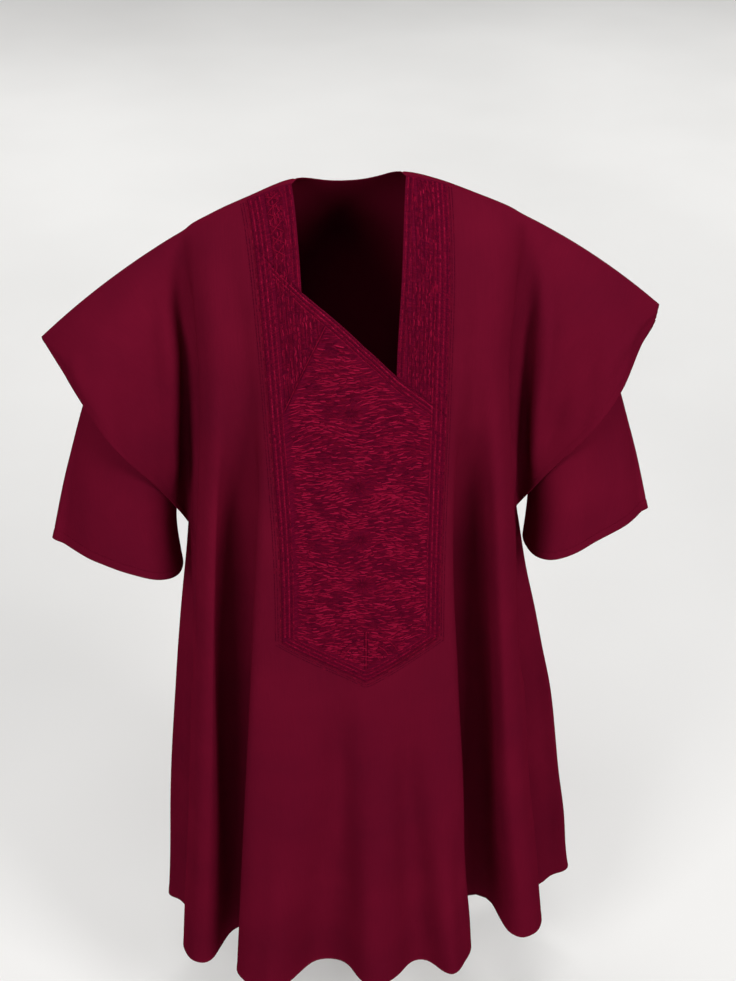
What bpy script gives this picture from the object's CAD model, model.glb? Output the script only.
# %% [markdown]
# # A grand boubou, seen as cloth
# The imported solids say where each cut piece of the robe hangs. This lesson dresses them: it draws the same
# panels again as fine, soft cloth with creases and turned hems, lays the embroidery on the chest stitch by
# stitch, and gives cloth and thread their finish. The solids stay for collision and are not shown.

# %% Load the frame
import math

import bmesh
import bpy
import numpy as np
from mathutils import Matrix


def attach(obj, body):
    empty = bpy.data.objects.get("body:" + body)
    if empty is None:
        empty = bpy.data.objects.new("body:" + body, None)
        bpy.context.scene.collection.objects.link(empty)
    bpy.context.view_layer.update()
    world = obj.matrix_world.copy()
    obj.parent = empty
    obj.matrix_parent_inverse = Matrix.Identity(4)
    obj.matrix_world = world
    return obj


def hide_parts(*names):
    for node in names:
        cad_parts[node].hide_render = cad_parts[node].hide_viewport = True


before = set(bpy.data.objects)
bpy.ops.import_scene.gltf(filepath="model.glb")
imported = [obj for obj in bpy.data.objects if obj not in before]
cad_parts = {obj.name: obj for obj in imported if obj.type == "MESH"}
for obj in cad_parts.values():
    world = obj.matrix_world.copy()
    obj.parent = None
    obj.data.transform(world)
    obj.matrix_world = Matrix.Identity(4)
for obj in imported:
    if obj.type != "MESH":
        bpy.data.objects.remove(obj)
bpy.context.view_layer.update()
MM = 0.001

# %% [markdown]
# ## The robe's own sizes
# A worn boubou is two big panels that hang from the shoulders. The easiest way to draw such a panel is by
# rails: lines that run down the cloth along the crest or the valley of each deep fold. The tables below are
# the same rails as the solids', so the soft cloth lies where they are. All lengths are in millimetres.

# %% Rails, levels and wings
SEAM = 0.3
LENGTH = 1405
UNDERARM_DROP = 565
NECK_HALF_WIDTH = 70
SHOULDER_SLOPE = 0.258
SHOULDER_CURVE = 0.000842

LEVELS = (
    # name, share of the way down, part of the chest's depth, part of the shoulder's fall, drop
    ("ridge", 0.000, 0.00, 1.00, 0),
    ("collarbone", 0.036, 0.40, 1.00, 17),
    ("upper chest", 0.090, 0.80, 0.85, 82),
    ("chest", 0.195, 1.00, 0.50, 235),
    ("waist", 0.415, 1.00, 0.00, UNDERARM_DROP),
    ("hip", 0.670, 1.00, 0.00, 945),
    ("hem", 1.000, 1.00, 0.00, LENGTH),
)
WAIST = 4
FRONT_RAILS = (
    # name, ridge x, chest x, y, waist x, y, hip x, y, hem x, y, cells to the next rail
    ("seam left", -240, -250, -48, -266, 0, -284, -26, -318, -46, 3),
    ("outer crest left", -226, -228, -102, -255, -100, -290, -110, -334, -126, 2),
    ("fold left", -206, -208, -124, -229, -132, -258, -146, -298, -164, 3),
    ("valley left", -182, -177, -131, -197, -121, -208, -114, -214, -122, 3),
    ("panel fold left", -164, -149, -143, -174, -153, -204, -162, -241, -184, 2),
    ("panel edge left", -152, -136, -147, -130, -164, -146, -183, -184, -236, 3),
    ("neck left", -92, -85, -152, -76, -168, -80, -184, -96, -184, 4),
    ("centre", -4, -8, -156, -8, -171, -4, -191, 4, -240, 4),
    ("neck right", 64, 38, -154, 46, -168, 62, -185, 86, -204, 3),
    ("panel edge right", 119, 107, -150, 105, -164, 116, -177, 146, -228, 2),
    ("panel fold right", 136, 119, -144, 123, -158, 149, -164, 182, -178, 3),
    ("valley right", 158, 150, -132, 158, -118, 174, -106, 198, -104, 3),
    ("fold right", 186, 181, -122, 203, -128, 233, -140, 284, -159, 2),
    ("outer crest right", 210, 201, -102, 230, -100, 268, -106, 324, -124, 3),
    ("seam right", 228, 234, -48, 246, 0, 272, -26, 308, -54, 0),
)
BACK_RAILS = (
    # name, ridge x, chest x, y, waist x, y, hip x, y, hem x, y, cells to the next rail
    ("seam left", -240, -250, 48, -266, 0, -284, -26, -318, -46, 3),
    ("side left", -228, -238, 88, -268, 46, -324, 8, -368, 0, 3),
    ("side valley left", -205, -208, 106, -244, 90, -292, 68, -318, 78, 2),
    ("side fold left", -180, -182, 116, -214, 118, -256, 128, -296, 152, 3),
    ("valley left", -150, -152, 122, -170, 122, -190, 126, -206, 146, 3),
    ("back fold left", -116, -112, 126, -124, 138, -138, 168, -158, 222, 3),
    ("neck left", -92, -72, 126, -70, 132, -70, 150, -76, 186, 3),
    ("centre", 0, 0, 128, 4, 140, 8, 172, 14, 236, 3),
    ("neck right", 64, 66, 126, 72, 131, 82, 148, 92, 184, 3),
    ("back fold right", 108, 108, 124, 120, 136, 140, 164, 168, 218, 3),
    ("valley right", 142, 144, 120, 160, 119, 184, 120, 210, 140, 3),
    ("side fold right", 170, 172, 114, 204, 114, 252, 124, 302, 146, 2),
    ("side valley right", 194, 196, 104, 230, 88, 290, 64, 334, 72, 3),
    ("side right", 216, 222, 88, 252, 46, 332, 10, 400, 0, 3),
    ("seam right", 228, 234, 48, 246, 0, 272, -26, 308, -54, 0),
)
WING_EDGE = (
    # share of the wing's width, y, height lost, along the wing's free edge
    (0.00, 0, UNDERARM_DROP),
    (0.10, 32, 505),
    (0.25, 60, 443),
    (0.50, 82, 369),
    (0.70, 70, 311),
    (0.88, 36, 256),
    (1.00, 10, 229),
)
WING_COLUMNS = ((0.11, 2), (0.25, 1), (0.40, 1), (0.56, 1), (0.72, 1), (0.87, 1), (1.00, 1))
WING_TIPS = {-1: (451, 444), 1: (437, 430)}
UNDERARM_X = {-1: 266, 1: 246}
WING_PULL = 0.62
WING_ROUNDING = 2.1
WING_HANG = 1.25
WING_FOOT = 68 / 166
print(len(FRONT_RAILS), "rails in front,", len(BACK_RAILS), "behind")

# %% [markdown]
# ## From rails to a surface
# A rail is smoothed down the cloth, then one smooth curve is drawn across all rails at each height. Doing it
# for some hundreds of heights at once gives a table of points, and every later piece reads that one table.

# %% Smooth curves
def unit(ways):
    """The same directions, each of length one."""
    return ways / np.maximum(np.linalg.norm(ways, axis=-1, keepdims=True), 1e-9)


def travelled(points, axis=0):
    """How far each point lies along its row of points."""
    gaps = np.linalg.norm(np.diff(points, axis=axis), axis=-1)
    return np.pad(np.cumsum(gaps, axis), [(int(k == axis), 0) for k in range(gaps.ndim)])


def smooth(knots, values, at, flat_way=None):
    """Smooth curves through rows of values at the knots, read at many places at once."""
    knots, values, at = (np.asarray(x, float) for x in (knots, values, at))
    order = np.arange(len(knots))
    before, after = np.maximum(order - 1, 0), np.minimum(order + 1, len(knots) - 1)
    slopes = (values[after] - values[before]) / (knots[after] - knots[before])[:, None]
    if flat_way is not None:
        slopes[0, flat_way] = 0
    i = np.clip(np.searchsorted(knots, at, side="right") - 1, 0, len(knots) - 2)
    width = (knots[i + 1] - knots[i])[:, None]
    t = (at - knots[i])[:, None] / width
    return (
        values[i] * (1 + 2 * t) * (1 - t) ** 2
        + values[i + 1] * t * t * (3 - 2 * t)
        + slopes[i] * width * t * (1 - t) ** 2
        - slopes[i + 1] * width * t * t * (1 - t)
    )


# %% A line down the body
def shoulder_height(x):
    """The height of the shoulder line, which falls ever more steeply away from the neck."""
    out = np.maximum(np.abs(x) - NECK_HALF_WIDTH, 0)
    return -(SHOULDER_SLOPE * out + SHOULDER_CURVE * out * out)


def rail_line(rail, shares):
    """A rail's points at many shares of the way down."""
    name, ridge_x, chest_x, chest_y, waist_x, waist_y, hip_x, hip_y, hem_x, hem_y, _ = rail
    across, out = (chest_x, waist_x, hip_x, hem_x), (chest_y, waist_y, hip_y, hem_y)
    knots = []
    for i, (_, level, depth, slope, drop) in enumerate(LEVELS):
        x = ridge_x + (chest_x - ridge_x) * i / 3 if i < 3 else across[i - 3]
        knots.append((level, x, depth * out[max(i - 3, 0)], shoulder_height(ridge_x) * slope - drop))
    knots = np.array(knots)
    if not name.startswith("seam"):
        return smooth(knots[:, 0], knots[:, 1:], shares, 2)
    upper, lower = knots[: WAIST + 1], knots[WAIST:]
    above = smooth(upper[:, 0], upper[:, 1:], shares, 2)
    below = smooth(lower[:, 0], lower[:, 1:], shares)
    return np.where((shares < lower[0, 0])[:, None], above, below)

# %% A line down a wing
def wing_line(side, facing, across, shares, root, ridge_root):
    """A line down a wing, from the shoulder seam to the free edge, at one share of the wing's width."""
    down = shares / LEVELS[WAIST][1]
    tip_ridge_x, tip_edge_x = WING_TIPS[side]
    edge = np.array(WING_EDGE, float)

    def unpulled(across):
        edge_y, edge_drop = smooth(edge[:, 0], edge[:, 1:], [across])[0]
        ridge_x = ridge_root + (tip_ridge_x - ridge_root) * across
        edge_x = UNDERARM_X[side] + (tip_edge_x - UNDERARM_X[side]) * across
        ridge_z = shoulder_height(ridge_x)
        return np.stack(
            [
                side * (ridge_x + (edge_x - ridge_x) * down),
                facing * edge_y * (1 - (1 - down) ** WING_ROUNDING),
                ridge_z + (-edge_drop - ridge_z) * down**WING_HANG,
            ],
            1,
        )

    pull = max(1 - across / WING_PULL, 0) ** 2
    return unpulled(across) + (root - unpulled(0)) * pull

# %% Curves across the lines
def across_rails(lines, cells, fine):
    """Smooth curves across rail lines, with fine points for each mesh cell of the solid."""
    held = [2 * lines[0] - lines[1], *lines, 2 * lines[-1] - lines[-2]]
    runs = []
    for i, count in enumerate(cells):
        a, b, c, d = held[i : i + 4]
        gaps = (np.linalg.norm(q - p, axis=1)[:, None] for p, q in ((a, b), (b, c), (c, d)))
        ab, bc, cd = (np.sqrt(np.maximum(gap, 1e-6)) for gap in gaps)
        start = ((b - a) / ab - (c - a) / (ab + bc) + (c - b) / bc) * bc
        end = ((c - b) / bc - (d - b) / (bc + cd) + (d - c) / cd) * bc
        t = (np.arange(count * fine) / (count * fine))[None, :, None]
        b, c, start, end = (x[:, None, :] for x in (b, c, start, end))
        runs.append(
            b * (1 + 2 * t) * (1 - t) ** 2 + c * t * t * (3 - 2 * t)
            + start * t * (1 - t) ** 2 - end * t * t * (1 - t)
        )
    return np.concatenate([*runs, lines[-1][:, None, :]], 1)

# %% [markdown]
# ## Creases placed by hand
# Suiting of this weight hangs in a few broad folds, with softer troughs between them. The broad folds are in
# the rails. Each row of the next tables is one softer crease: where its middle line starts and ends on the
# cloth, how wide it spreads and how high it stands, or how deep when the number is negative.

# %% Crease tables
FRONT_CREASES = (
    # share from, to, column from, to, half width, height
    (0.12, 1.00, 8.5, 7.4, 33, -34.0),
    (0.19, 1.00, 9.2, 9.3, 19, -24.0),
    (0.16, 1.00, 31.4, 32.6, 31, -36.0),
    (0.20, 1.00, 31.2, 31.4, 20, -22.0),
    (0.05, 0.60, 1.5, 1.9, 16, -38.0),
    (0.05, 0.62, 38.8, 37.8, 17, -34.0),
    (0.05, 0.42, -2.0, -2.1, 19, 20.0),
    (0.10, 0.42, -4.6, -4.0, 17, -3.2),
    (0.16, 0.42, -6.4, -6.2, 13, 2.2),
    (0.05, 0.30, 8.6, 9.6, 15, -2.6),
    (0.06, 0.42, 42.0, 42.2, 19, 18.0),
    (0.12, 0.42, 44.6, 44.2, 16, -3.4),
    (0.18, 0.42, 46.4, 46.0, 12, 2.0),
    (0.06, 0.42, 31.0, 33.4, 14, -3.6),
    (0.24, 0.60, 30.4, 30.0, 11, 2.4),
    (0.50, 1.00, 17.8, 17.4, 32, -21.0),
    (0.54, 1.00, 24.2, 24.0, 26, -15.0),
    (0.40, 1.00, 6.6, 6.2, 14, -3.6),
    (0.46, 1.00, 3.9, 4.2, 13, 2.6),
    (0.44, 1.00, 1.6, 1.4, 15, -3.4),
    (0.42, 1.00, 34.0, 33.6, 14, -3.2),
    (0.50, 1.00, 36.2, 36.0, 13, 2.6),
    (0.46, 1.00, 38.8, 38.6, 15, -3.4),
    (0.70, 1.00, 12.2, 12.4, 12, -2.0),
    (0.72, 1.00, 28.2, 28.0, 12, -2.2),
)
BACK_CREASES = (
    # share from, to, column from, to, half width, height
    (0.26, 1.00, 11.2, 11.0, 27, -17.0),
    (0.28, 1.00, 29.2, 29.2, 27, -17.0),
    (0.36, 1.00, 20.6, 20.0, 24, -13.0),
    (0.50, 1.00, 2.2, 1.8, 18, -9.0),
    (0.50, 1.00, 38.2, 38.4, 18, -9.0),
    (0.06, 0.42, 0.4, 2.0, 15, -4.6),
    (0.08, 0.41, -2.4, -1.4, 20, 3.2),
    (0.12, 0.42, -4.4, -4.2, 17, -3.0),
    (0.18, 0.42, -6.2, -6.0, 13, 2.2),
    (0.06, 0.42, 39.6, 38.4, 15, -4.8),
    (0.08, 0.41, 42.4, 41.6, 19, 3.2),
    (0.12, 0.42, 44.4, 44.0, 17, -3.2),
    (0.04, 0.46, 14.6, 15.6, 22, -3.4),
    (0.05, 0.40, 25.6, 24.6, 20, -3.0),
    (0.07, 0.60, 19.6, 20.2, 26, 2.6),
    (0.30, 1.00, 17.4, 17.0, 22, -4.0),
    (0.36, 1.00, 22.6, 23.2, 24, -3.6),
    (0.42, 1.00, 12.2, 12.0, 16, 3.0),
    (0.44, 1.00, 27.8, 28.2, 17, 3.0),
    (0.40, 1.00, 6.8, 6.4, 14, -3.2),
    (0.46, 1.00, 34.4, 34.0, 15, -3.4),
    (0.52, 1.00, 9.8, 9.4, 13, -2.6),
    (0.50, 1.00, 31.2, 31.4, 13, -2.6),
)

# %% How high the creases stand
def ramp(x, low, high):
    """0 below low, 1 above high, with an easy slope between."""
    t = np.clip((x - low) / (high - low), 0, 1)
    return t * t * (3 - 2 * t)


UNEVEN_WAVES = 7
UNEVEN_HEIGHT = 0.45


def relief(shares, columns, along, creases, seed):
    """How far the creases and the cloth's own unevenness lift each point of the table."""
    height = np.zeros(along.shape)
    for start, end, column_start, column_end, half_width, tall in creases:
        way = np.clip((shares - start) / (end - start), 0, 1)
        wander = 0.12 * np.sin(5 * way + 3 * column_start)
        middle_column = column_start + (column_end - column_start) * way + wander
        middle = np.array([np.interp(c, columns, row) for c, row in zip(middle_column, along)])
        shown = ramp(shares, start, start + 0.35 * (end - start))
        if end < 1:
            shown = shown * (1 - ramp(shares, end - 0.25 * (end - start), end))
        spread = half_width * (0.75 + 0.5 * way)[:, None]
        height += tall * shown[:, None] * np.exp(-(((along - middle[:, None]) / spread) ** 2))
    chance = np.random.default_rng(seed)
    for _ in range(UNEVEN_WAVES):
        across_length, down_length = chance.uniform(70, 190), chance.uniform(350, 900)
        phase = chance.uniform(0, 2 * math.pi)
        lean = chance.uniform(-1, 1)
        wave = along / across_length + lean * shares[:, None] + shares[:, None] * LENGTH / down_length
        height += UNEVEN_HEIGHT * np.sin(2 * math.pi * wave + phase)
    return height

# %% The table of a panel's points
FINE = 8
ROWS_ABOVE, ROWS_BELOW = 150, 210
FIRST_SHARE_BELOW = 69 / 166
NORMAL_SOFTENING = 30
RIDGE_FADE, SIDE_FADE = 45, 40  # how far from a seam the creases reach their full depth
UNDERARM_FADE = 0.08


class Drape:
    """A panel as a table of points by share of the way down and by mesh column, creases and all."""

    def __init__(self, rails, facing, creases, seed):
        self.facing = facing
        self.column = {}
        count = 0
        for rail in rails:
            self.column[rail[0]] = count
            count += rail[-1]
        self.width = count
        self.reach = sum(cells for _, cells in WING_COLUMNS)
        self.shares = np.concatenate([
            np.linspace(0, WING_FOOT, ROWS_ABOVE), np.linspace(FIRST_SHARE_BELOW, 1, ROWS_BELOW)])
        self.columns = np.arange(-self.reach * FINE, (self.width + self.reach) * FINE + 1) / FINE
        self.points = self.smooth_cloth(rails)
        self.measure()
        height = relief(self.shares, self.columns, self.along, creases, seed) * self.seam_fade()
        self.points = self.points + self.ways * height[..., None]
        self.measure()
        seams = self.on_seam()
        self.ways[seams, 1] = 0
        self.ways = unit(self.ways)
        self.points[seams, 1] += facing * SEAM / 2

    def smooth_cloth(self, rails):
        """The panel without creases: wings and body as one surface, and the body alone below the underarm."""
        body = [rail_line(rail, self.shares) for rail in rails]
        cells = [rail[-1] for rail in rails[:-1]]
        steps = [count for _, count in WING_COLUMNS]
        wings = []
        for side, rail, root in ((-1, rails[0], body[0]), (1, rails[-1], body[-1])):
            shares = np.minimum(self.shares, WING_FOOT)
            ridge = abs(rail[1])
            wings.append([wing_line(side, self.facing, at, shares, root, ridge) for at, _ in WING_COLUMNS])
        with_wings = across_rails(wings[0][::-1] + body + wings[1], steps[::-1] + cells + steps, FINE)
        alone = across_rails(body, cells, FINE)
        middle = slice(self.reach * FINE, -self.reach * FINE)
        below = self.shares > WING_FOOT
        with_wings[below] = with_wings[np.argmax(below) - 1]
        with_wings[below, middle] = alone[below]
        return with_wings

    def measure(self):
        """Normals, and how far each point lies along the cloth from the centre and from the shoulder line."""
        down, across = np.gradient(self.points, axis=0), np.gradient(self.points, axis=1)
        below = self.shares > WING_FOOT
        body = slice(self.reach * FINE, -self.reach * FINE)
        across[below, body] = np.gradient(self.points[below, body], axis=1)
        ways = self.facing * np.cross(across, down)
        for wing in (slice(None, self.reach * FINE), slice(-self.reach * FINE, None)):
            ways[below, wing] = ways[np.argmax(below) - 1, wing]
        ways = unit(ways)
        for _ in range(NORMAL_SOFTENING):
            ways[1:-1] += (ways[:-2] - 2 * ways[1:-1] + ways[2:]) / 4
        self.ways = unit(ways)
        along = travelled(self.points, 1)
        self.along = along - along[:, [self.index("centre")]]
        self.fallen = travelled(self.points, 0)

    def index(self, name):
        return (self.column[name] + self.reach) * FINE

    def on_seam(self):
        """The points where front and back meet: the shoulder line, and the sides below the underarm."""
        sides = (self.columns == 0) | (self.columns == self.width)
        return (self.shares == 0)[:, None] | ((self.shares > WING_FOOT)[:, None] & sides[None, :])

    def seam_fade(self):
        """0 on the seams, so that front and back still meet there."""
        ridge = ramp(self.fallen, 0, RIDGE_FADE)
        left, right = (self.along[:, [(c + self.reach) * FINE]] for c in (0, self.width))
        from_side = np.minimum(np.abs(self.along - left), np.abs(self.along - right))
        below = ramp(self.shares, WING_FOOT - UNDERARM_FADE, WING_FOOT)[:, None]
        return ridge * (1 - below * (1 - ramp(from_side, 0, SIDE_FADE)))

    def read(self, table, share, column):
        """A table's values at any shares and columns."""
        share, column = np.broadcast_arrays(np.asarray(share, float), np.asarray(column, float))
        i = np.clip(np.searchsorted(self.shares, share, side="right") - 1, 0, len(self.shares) - 2)
        t = np.clip((share - self.shares[i]) / (self.shares[i + 1] - self.shares[i]), 0, 1)
        at = np.clip((column + self.reach) * FINE, 0, len(self.columns) - 1.000001)
        j = at.astype(int)
        s = at - j
        if table.ndim == 3:
            t, s = t[..., None], s[..., None]
        upper = table[i, j] * (1 - s) + table[i, j + 1] * s
        lower = table[i + 1, j] * (1 - s) + table[i + 1, j + 1] * s
        return upper * (1 - t) + lower * t

    def spot(self, share, column, lift=0.0):
        """Points of the cloth, lifted off its surface, in millimetres."""
        ways = unit(self.read(self.ways, share, column))
        return self.read(self.points, share, column) + ways * np.asarray(lift)[..., None]


# %% Draw both panels
front = Drape(FRONT_RAILS, -1, FRONT_CREASES, 4)
back = Drape(BACK_RAILS, 1, BACK_CREASES, 9)
print("front is", round(front.fallen[-1, front.index("centre")]), "mm long at the centre")

# %% [markdown]
# ## From the table to a cloth wall
# Cloth has two faces and a turned edge, so each panel becomes a closed wall. The outer face is the table's
# surface, the inner face lies one cloth's thickness in, two where the hem is turned, and the edge between
# them is rounded. Solidify could do this, but a wall of our own can thicken towards the hem.

# %% A closed wall on a grid
EDGE_ROUNDING = 0.45  # how far the turned edge stands out, as a share of the wall


def wall_mesh(name, outer, inner, cells, uv, turned, closed=False):
    """A wall between two grids of points in millimetres, on the cells that are cloth."""
    rows, columns = outer.shape[:2]
    place = np.arange(rows * columns).reshape(rows, columns)
    raw = np.stack([place[:-1, :-1], place[1:, :-1], place[1:, 1:], place[:-1, 1:]], -1)[cells]
    if turned:
        raw = raw[:, ::-1]
    number = place.copy()
    if closed:
        number[:, -1] = number[:, 0]
    number = number.ravel()
    used, quads = np.unique(number[raw], return_inverse=True)
    quads = quads.reshape(raw.shape)
    outer, inner = outer.reshape(-1, 3)[used], inner.reshape(-1, 3)[used]
    count = len(used)
    ends, raw_ends = (
        np.concatenate([net[:, [k, (k + 1) % 4]] for k in range(4)]) for net in (quads, raw))
    free = ~np.isin(ends[:, 0] * count + ends[:, 1], ends[:, 1] * count + ends[:, 0])
    rim, raw_rim = ends[free], raw_ends[free]
    out = np.zeros((count, 3))
    side = unit(np.cross(outer[rim[:, 1]] - outer[rim[:, 0]], (outer - inner)[rim[:, 0]]))
    for k in (0, 1):
        np.add.at(out, rim[:, k], side)
    on_rim = np.unique(rim)
    stand = np.linalg.norm((outer - inner)[on_rim], axis=1, keepdims=True) * EDGE_ROUNDING
    middle = (outer[on_rim] + inner[on_rim]) / 2 + unit(out[on_rim]) * stand
    turn = np.zeros(count, int)
    turn[on_rim] = np.arange(len(on_rim)) + 2 * count
    a, b = rim.T
    edge_outer = np.stack([b, a, turn[a], turn[b]], 1)
    edge_inner = np.stack([turn[a], a + count, b + count, turn[b]], 1)
    faces = np.concatenate([quads, quads[:, ::-1] + count, edge_outer, edge_inner])
    ra, rb = raw_rim.T
    raw_edges = [np.stack(edge, 1) for edge in ((rb, ra, ra, rb), (ra, ra, rb, rb))]
    corners = np.concatenate([raw, raw[:, ::-1], *raw_edges])
    return cloth_object(name, np.concatenate([outer, inner, middle]), faces, uv.reshape(-1, 2)[corners])

# %% A mesh from arrays
def cloth_object(name, points, faces, corner_uv):
    """A smooth mesh object from arrays, with its flat pattern as the UV map, in metres."""
    mesh = bpy.data.meshes.new(name)
    size = faces.shape[1]
    mesh.vertices.add(len(points))
    mesh.vertices.foreach_set("co", (points * MM).ravel())
    mesh.loops.add(faces.size)
    mesh.loops.foreach_set("vertex_index", faces.ravel().astype(np.int32))
    mesh.polygons.add(len(faces))
    mesh.polygons.foreach_set("loop_start", np.arange(len(faces), dtype=np.int32) * size)
    mesh.update(calc_edges=True)
    layer = mesh.uv_layers.new(name="cloth")
    layer.data.foreach_set("uv", (corner_uv * MM).ravel())
    mesh.validate()
    mesh.shade_smooth()
    made = bpy.data.objects.new(name, mesh)
    bpy.context.scene.collection.objects.link(made)
    print(name, "has", len(mesh.polygons), "faces")
    return made

# %% [markdown]
# ## The front, cut open at the neck
# The panel's mesh rows follow the design: one row lies on the slanting neck edge, one on the embroidered
# panel's pointed foot. Rows crowd together near the hem, because the turned hem and its stitches are small.

# %% Rows and shares of the front
SLANT_ROW = 7
UNDERARM_ROW = 15
FOOT_ROW = 18
FRONT_ROWS = 30
COLLAR_LEFT_SHARE, COLLAR_MIDDLE_SHARE, COLLAR_RIGHT_SHARE = 0.103, 0.156, 0.188
SLANT_LEFT_SHARE, SLANT_RIGHT_SHARE = 0.050, 0.227
FOOT_SHARE, FOOT_POINT_SHARE = 0.482, 0.534
SLANT_MARKS = (
    ("seam left", 0.150), ("panel edge left", SLANT_LEFT_SHARE), ("neck left", COLLAR_LEFT_SHARE),
    ("centre", COLLAR_MIDDLE_SHARE), ("neck right", COLLAR_RIGHT_SHARE),
    ("panel edge right", SLANT_RIGHT_SHARE), ("seam right", 0.232),
)
FOOT_MARKS = (
    ("seam left", FOOT_SHARE), ("panel edge left", FOOT_SHARE), ("centre", FOOT_POINT_SHARE),
    ("panel edge right", FOOT_SHARE), ("seam right", FOOT_SHARE),
)


def marked(marks, drape, columns):
    """A share that runs straight from mark to mark."""
    return np.interp(columns, [drape.column[name] for name, _ in marks], [share for _, share in marks])


def front_share(rows, columns):
    """How far down the cloth the front's mesh points lie."""
    columns = np.clip(columns, 0, front.width)
    waist = np.full(len(columns), LEVELS[WAIST][1])
    lines = np.stack([
        np.zeros(len(columns)), marked(SLANT_MARKS, front, columns), waist,
        marked(FOOT_MARKS, front, columns), np.ones(len(columns)),
    ])
    places = (0, SLANT_ROW, UNDERARM_ROW, FOOT_ROW, FRONT_ROWS)
    return np.stack([np.interp(rows, places, line) for line in lines.T], 1)

# %% The turned hem and the wall's thickness
ROW_STEP, COLUMN_STEP = 1 / 6, 1 / 4
CLOTH = 1.1
HEM_DEPTH = 18
HEM_STITCH = 16
HEM_RISE, HEM_FOLD = 0.35, 0.9  # a turned hem stands out a little and is nearly two cloths thick
PRESSED_WIDTH = 2.6
PANEL_PRESS, CUFF_PRESS = 0.75, 0.70
HEM_STEPS = (0, 1.5, 4, 8, 12, 14.5, 16, 17.5, 20, 25, 32)


def turned_hem(above, press):
    """How far the cloth is lifted at a height above its free edge, and how thick its wall is there."""
    hem = 1 - ramp(above, HEM_DEPTH - 2, HEM_DEPTH + 3)
    pressed = np.exp(-(((above - HEM_STITCH) / PRESSED_WIDTH) ** 2))
    return HEM_RISE * hem - press * pressed, CLOTH + HEM_FOLD * hem


def crowded(first_row, last_row, row_length):
    """Even mesh rows, with close ones added just above last_row, which ends in a turned hem."""
    even = np.arange(first_row, last_row + 1e-6, ROW_STEP)
    close = last_row - np.array(HEM_STEPS) * (last_row - even[even < last_row][-1]) / row_length
    kept = even[even < close.min() - 0.3 * ROW_STEP]
    return np.concatenate([kept, close[::-1]])


def edge_distance(drape, share, column):
    """How far above its free edge each point lies: the hem on the body, the lower edge on the wings."""
    edge_share = np.where((column < 0) | (column > drape.width), WING_FOOT, 1.0)
    return drape.read(drape.fallen, edge_share, column) - drape.read(drape.fallen, share, column)


def panel_object(name, drape, share, column, cells):
    """A panel's wall, with its hems turned and pressed."""
    lift, wall = turned_hem(np.clip(edge_distance(drape, share, column), 0, None), PANEL_PRESS)
    along, fallen = (drape.read(table, share, column) for table in (drape.along, drape.fallen))
    lift = np.where(fallen < 1, 0, lift)
    outer, inner = (drape.spot(share, column, height) for height in (lift, lift - wall))
    return wall_mesh(name, outer, inner, cells, np.stack([along, -fallen], -1), drape.facing > 0)

# %% Make the front
CORNER_ROWS, CORNER_COLUMNS = 1.5, 1.2  # the cells left out at the underarm, where wing and side seam part


def middles(lines):
    return (lines[:-1] + lines[1:]) / 2


def panel_net(drape, underarm_row, last_row, wing_row_length, hem_row_length):
    """Mesh rows and columns, and which cells are cloth: all above the underarm, the body below it."""
    rows = np.concatenate([
        crowded(0, underarm_row, wing_row_length), crowded(underarm_row, last_row, hem_row_length)[1:]])
    columns = np.arange(-drape.reach, drape.width + drape.reach + 1e-6, COLUMN_STEP)
    r, c = middles(rows), middles(columns)
    in_body = (c > 0) & (c < drape.width)
    corner = (r[:, None] > underarm_row - CORNER_ROWS * ROW_STEP) & ~in_body[None, :]
    near = np.minimum(np.abs(c), np.abs(c - drape.width)) < CORNER_COLUMNS * COLUMN_STEP
    return rows, columns, (in_body[None, :] | (r < underarm_row)[:, None]) & ~(corner & near[None, :])


front_rows, front_columns, front_cells = panel_net(front, UNDERARM_ROW, FRONT_ROWS, 12, 11)
column = middles(front_columns)
at_neck = (column > front.column["neck left"]) & (column < front.column["neck right"])
opening = (middles(front_rows) < SLANT_ROW)[:, None] & at_neck[None, :]
share = front_share(front_rows, front_columns)
robe_front = panel_object(
    "robe_front", front, share, np.broadcast_to(front_columns, share.shape), front_cells & ~opening)

# %% [markdown]
# ## The back
# The back hangs from the same shoulder seam, with a shallow round neck. The picture never shows it, so it
# gets folds like the front's.

# %% Make the back
BACK_CHEST_ROW, BACK_UNDERARM_ROW, BACK_ROWS = 5, 11, 24
BACK_NECK_SHARE, BACK_CHEST_SHARE = 0.047, 0.110


def back_share(rows, columns):
    """How far down the cloth the back's mesh points lie, from the round neck on."""
    left, right = back.column["neck left"], back.column["neck right"]
    way = np.clip((np.clip(columns, 0, back.width) - left) / (right - left), 0, 1)
    neck = BACK_NECK_SHARE * np.sin(np.pi * way) ** 0.5
    places, waist = (0, BACK_CHEST_ROW, BACK_UNDERARM_ROW, BACK_ROWS), LEVELS[WAIST][1]
    return np.stack([np.interp(rows, places, (top, BACK_CHEST_SHARE, waist, 1)) for top in neck], 1)


back_rows, back_columns, back_cells = panel_net(back, BACK_UNDERARM_ROW, BACK_ROWS, 18, 10)
share = back_share(back_rows, back_columns)
robe_back = panel_object("robe_back", back, share, np.broadcast_to(back_columns, share.shape), back_cells)

# %% [markdown]
# ## The half sleeves
# A flared half sleeve hangs under each wing, held in the armhole between front and back. It is a tube drawn
# by rings, flatter towards its folded outer side.

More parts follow.
